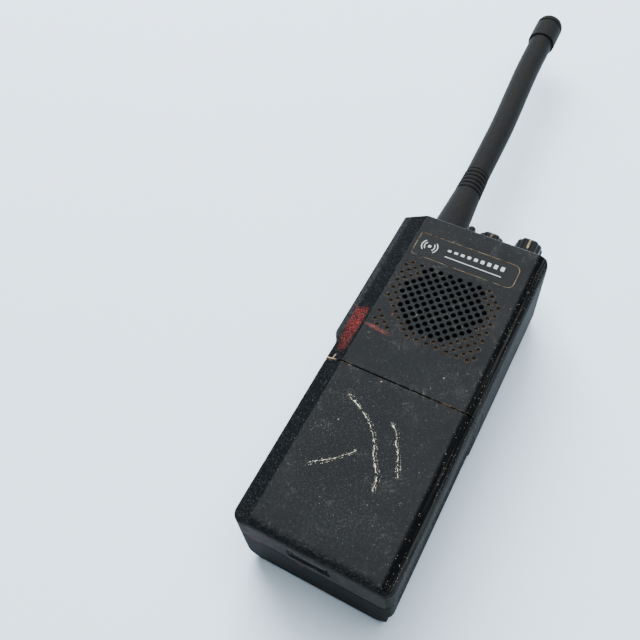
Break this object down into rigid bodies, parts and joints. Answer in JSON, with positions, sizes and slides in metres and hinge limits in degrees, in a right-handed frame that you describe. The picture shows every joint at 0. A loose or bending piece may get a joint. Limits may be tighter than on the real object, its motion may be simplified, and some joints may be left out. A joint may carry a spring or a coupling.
{
  "type": "two way radio",
  "caption": "Hand-held two way radio lying on its back: perforated speaker front, side talk keys, top knobs, rubber antenna and slide-off battery pack.",
  "frame": {"origin": "on the body's back face, midway between the bottom end and the top deck and 0.6 mm to the right of the middle of its width, on the surface the radio lies on", "axes": "+X to the right seen from the front, +Y up the radio along the antenna, +Z out of the front face"},
  "size_m": [0.0592, 0.2912, 0.0416],
  "materials": {
    "housing": "fine-grained moulded polycarbonate, scuffed",
    "pack_shell": "fine-grained moulded polycarbonate, scratched",
    "trim": "satin black plastic",
    "key_rubber": "olive grey silicone rubber",
    "sheath": "smooth moulded rubber",
    "felt": "black acoustic cloth",
    "package": "moulded chip package",
    "board": "green solder resist",
    "cast": "as cast",
    "tin": "tin plated",
    "brass": "machined",
    "steel": "plated",
    "cell_wrap": "shrink wrap",
    "lens": "dark red tinted"
  },
  "bodies": {
    "radio": {"front_housing": "housing", "rear_cover": "housing", "nameplate": "trim", "side_panel": "trim", "microphone_boot": "sheath", "speaker_felt": "felt", "speaker_cone": "felt", "main_processor": "package", "dome_board": "board", "rf_board": "board", "control_board": "board", "chassis": "cast", "transmitter_screen": "tin", "receiver_screen": "tin", "microphone": "tin", "antenna_bushing": "brass", "radio_contact_1": "brass", "radio_contact_2": "brass", "radio_contact_3": "brass", "speaker_frame": "steel", "speaker_magnet": "steel", "volume_switch": "steel", "channel_switch": "steel", "housing_screw_1": "steel", "housing_screw_2": "steel", "housing_screw_3": "steel", "housing_screw_4": "steel", "led_lens": "lens"},
    "talk_key": {"talk_key": "key_rubber"},
    "side_key_1": {"side_key_1": "key_rubber"},
    "side_key_2": {"side_key_2": "key_rubber"},
    "volume_knob": {"volume_knob": "trim", "volume_shaft": "steel"},
    "channel_knob": {"channel_knob": "trim", "channel_shaft": "steel"},
    "antenna": {"antenna_stud": "brass", "antenna_coil": "brass", "antenna_sheath": "sheath", "antenna_cap": "sheath"},
    "battery": {"battery_front_shell": "pack_shell", "battery_rear_shell": "pack_shell", "latch_spring": "steel", "terminal_board": "board", "battery_cell_1": "cell_wrap", "battery_cell_2": "cell_wrap", "battery_cell_3": "cell_wrap", "battery_cell_4": "cell_wrap", "battery_cell_5": "cell_wrap", "battery_cell_6": "cell_wrap", "charge_contact_1": "brass", "charge_contact_2": "brass", "charge_contact_3": "brass"},
    "battery_latch": {"battery_latch": "trim"}
  },
  "joints": [
    {"name": "talk_key_press", "type": "slide", "parent": "radio", "child": "talk_key", "axis": [1, 0, 0], "range_m": [0, 0.0012], "stiffness_N_per_m": 600, "springref_m": -0.0008},
    {"name": "side_key_1_press", "type": "slide", "parent": "radio", "child": "side_key_1", "axis": [1, 0, 0], "range_m": [0, 0.0008], "stiffness_N_per_m": 500, "springref_m": -0.0008},
    {"name": "side_key_2_press", "type": "slide", "parent": "radio", "child": "side_key_2", "axis": [1, 0, 0], "range_m": [0, 0.0008], "stiffness_N_per_m": 500, "springref_m": -0.0008},
    {"name": "volume_turn", "type": "hinge", "parent": "radio", "child": "volume_knob", "pos_m": [0.0175, 0.0687, 0.023], "axis": [0, 1, 0], "range_deg": [-135, 135]},
    {"name": "channel_turn", "type": "hinge", "parent": "radio", "child": "channel_knob", "pos_m": [0.0026, 0.0687, 0.023], "axis": [0, 1, 0], "range_deg": [-168.75, 168.75]},
    {"name": "antenna_removal", "type": "slide", "parent": "radio", "child": "antenna", "axis": [0, 1, 0], "range_m": [0, 0.02]},
    {"name": "battery_removal", "type": "slide", "parent": "radio", "child": "battery", "axis": [0, -1, 0], "range_m": [0, 0.026]},
    {"name": "latch_press", "type": "slide", "parent": "battery", "child": "battery_latch", "axis": [0, 1, 0], "range_m": [0, 0.002], "stiffness_N_per_m": 400, "springref_m": -0.0015, "deforming": ["latch_spring"]}
  ]
}
